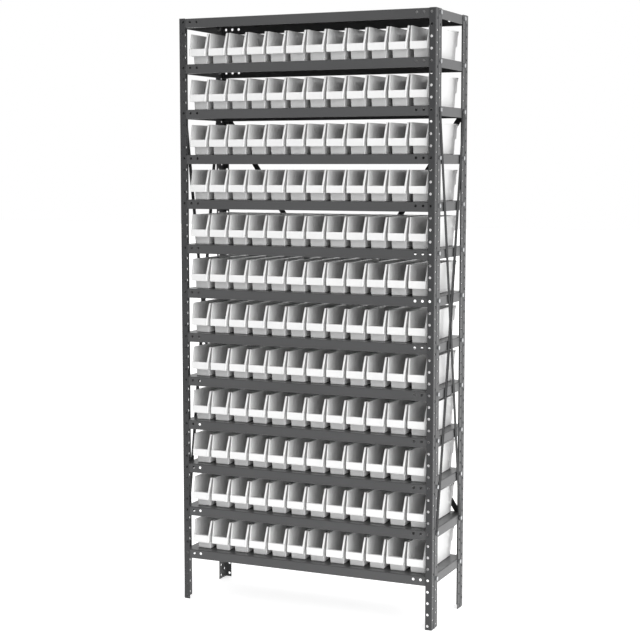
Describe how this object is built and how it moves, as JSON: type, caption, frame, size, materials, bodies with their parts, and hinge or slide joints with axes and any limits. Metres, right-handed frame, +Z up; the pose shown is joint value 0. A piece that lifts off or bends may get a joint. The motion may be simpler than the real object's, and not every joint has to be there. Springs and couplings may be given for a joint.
{
  "type": "bin shelving unit",
  "caption": "Free-standing open steel shelving with punched angle posts, formed shelves and crossed braces, holding rows of narrow open-front plastic parts bins.",
  "frame": {"origin": "on the floor under the middle of the whole unit", "axes": "+Z up, the bins' open fronts face -Y, +X to the right seen from the front"},
  "size_m": [0.9354, 0.3226, 2.0066],
  "materials": {
    "frame_paint": "semi-gloss dark grey paint",
    "bin_plastic": "satin off-white moulding",
    "zinc": "zinc plated"
  },
  "bodies": {
    "frame": {"post_front_left": "frame_paint", "post_front_right": "frame_paint", "post_rear_left": "frame_paint", "post_rear_right": "frame_paint", "shelf_01": "frame_paint", "shelf_02": "frame_paint", "shelf_03": "frame_paint", "shelf_04": "frame_paint", "shelf_05": "frame_paint", "shelf_06": "frame_paint", "shelf_07": "frame_paint", "shelf_08": "frame_paint", "shelf_09": "frame_paint", "shelf_10": "frame_paint", "shelf_11": "frame_paint", "shelf_12": "frame_paint", "shelf_13": "frame_paint", "side_brace_left_falling": "frame_paint", "side_brace_left_rising": "frame_paint", "side_brace_right_falling": "frame_paint", "side_brace_right_rising": "frame_paint", "back_brace_falling": "frame_paint", "back_brace_rising": "frame_paint", "shelf_bolts": "zinc", "shelf_nuts": "zinc", "brace_bolts": "zinc", "brace_nuts": "zinc"},
    "parts_bin_01": {"bin_01": "bin_plastic"},
    "parts_bin_02": {"bin_02": "bin_plastic"},
    "parts_bin_03": {"bin_03": "bin_plastic"},
    "parts_bin_04": {"bin_04": "bin_plastic"},
    "parts_bin_05": {"bin_05": "bin_plastic"},
    "parts_bin_06": {"bin_06": "bin_plastic"},
    "parts_bin_07": {"bin_07": "bin_plastic"},
    "parts_bin_08": {"bin_08": "bin_plastic"},
    "parts_bin_09": {"bin_09": "bin_plastic"},
    "parts_bin_10": {"bin_10": "bin_plastic"},
    "parts_bin_11": {"bin_11": "bin_plastic"},
    "parts_bin_12": {"bin_12": "bin_plastic"},
    "parts_bin_row_01": {"bin_row_01": "bin_plastic"},
    "parts_bin_row_02": {"bin_row_02": "bin_plastic"},
    "parts_bin_row_03": {"bin_row_03": "bin_plastic"},
    "parts_bin_row_04": {"bin_row_04": "bin_plastic"},
    "parts_bin_row_05": {"bin_row_05": "bin_plastic"},
    "parts_bin_row_06": {"bin_row_06": "bin_plastic"},
    "parts_bin_row_08": {"bin_row_08": "bin_plastic"},
    "parts_bin_row_09": {"bin_row_09": "bin_plastic"},
    "parts_bin_row_10": {"bin_row_10": "bin_plastic"},
    "parts_bin_row_11": {"bin_row_11": "bin_plastic"},
    "parts_bin_row_12": {"bin_row_12": "bin_plastic"}
  },
  "joints": [
    {"name": "bin_01_slide", "type": "slide", "parent": "frame", "child": "parts_bin_01", "axis": [0, -1, 0], "range_m": [0, 0.3]},
    {"name": "bin_02_slide", "type": "slide", "parent": "frame", "child": "parts_bin_02", "axis": [0, -1, 0], "range_m": [0, 0.3]},
    {"name": "bin_03_slide", "type": "slide", "parent": "frame", "child": "parts_bin_03", "axis": [0, -1, 0], "range_m": [0, 0.3]},
    {"name": "bin_04_slide", "type": "slide", "parent": "frame", "child": "parts_bin_04", "axis": [0, -1, 0], "range_m": [0, 0.3]},
    {"name": "bin_05_slide", "type": "slide", "parent": "frame", "child": "parts_bin_05", "axis": [0, -1, 0], "range_m": [0, 0.3]},
    {"name": "bin_06_slide", "type": "slide", "parent": "frame", "child": "parts_bin_06", "axis": [0, -1, 0], "range_m": [0, 0.3]},
    {"name": "bin_07_slide", "type": "slide", "parent": "frame", "child": "parts_bin_07", "axis": [0, -1, 0], "range_m": [0, 0.3]},
    {"name": "bin_08_slide", "type": "slide", "parent": "frame", "child": "parts_bin_08", "axis": [0, -1, 0], "range_m": [0, 0.3]},
    {"name": "bin_09_slide", "type": "slide", "parent": "frame", "child": "parts_bin_09", "axis": [0, -1, 0], "range_m": [0, 0.3]},
    {"name": "bin_10_slide", "type": "slide", "parent": "frame", "child": "parts_bin_10", "axis": [0, -1, 0], "range_m": [0, 0.3]},
    {"name": "bin_11_slide", "type": "slide", "parent": "frame", "child": "parts_bin_11", "axis": [0, -1, 0], "range_m": [0, 0.3]},
    {"name": "bin_12_slide", "type": "slide", "parent": "frame", "child": "parts_bin_12", "axis": [0, -1, 0], "range_m": [0, 0.3]},
    {"name": "bin_row_01_slide", "type": "slide", "parent": "frame", "child": "parts_bin_row_01", "axis": [0, -1, 0], "range_m": [0, 0.3]},
    {"name": "bin_row_02_slide", "type": "slide", "parent": "frame", "child": "parts_bin_row_02", "axis": [0, -1, 0], "range_m": [0, 0.3]},
    {"name": "bin_row_03_slide", "type": "slide", "parent": "frame", "child": "parts_bin_row_03", "axis": [0, -1, 0], "range_m": [0, 0.3]},
    {"name": "bin_row_04_slide", "type": "slide", "parent": "frame", "child": "parts_bin_row_04", "axis": [0, -1, 0], "range_m": [0, 0.3]},
    {"name": "bin_row_05_slide", "type": "slide", "parent": "frame", "child": "parts_bin_row_05", "axis": [0, -1, 0], "range_m": [0, 0.3]},
    {"name": "bin_row_06_slide", "type": "slide", "parent": "frame", "child": "parts_bin_row_06", "axis": [0, -1, 0], "range_m": [0, 0.3]},
    {"name": "bin_row_08_slide", "type": "slide", "parent": "frame", "child": "parts_bin_row_08", "axis": [0, -1, 0], "range_m": [0, 0.3]},
    {"name": "bin_row_09_slide", "type": "slide", "parent": "frame", "child": "parts_bin_row_09", "axis": [0, -1, 0], "range_m": [0, 0.3]},
    {"name": "bin_row_10_slide", "type": "slide", "parent": "frame", "child": "parts_bin_row_10", "axis": [0, -1, 0], "range_m": [0, 0.3]},
    {"name": "bin_row_11_slide", "type": "slide", "parent": "frame", "child": "parts_bin_row_11", "axis": [0, -1, 0], "range_m": [0, 0.3]},
    {"name": "bin_row_12_slide", "type": "slide", "parent": "frame", "child": "parts_bin_row_12", "axis": [0, -1, 0], "range_m": [0, 0.3]}
  ]
}
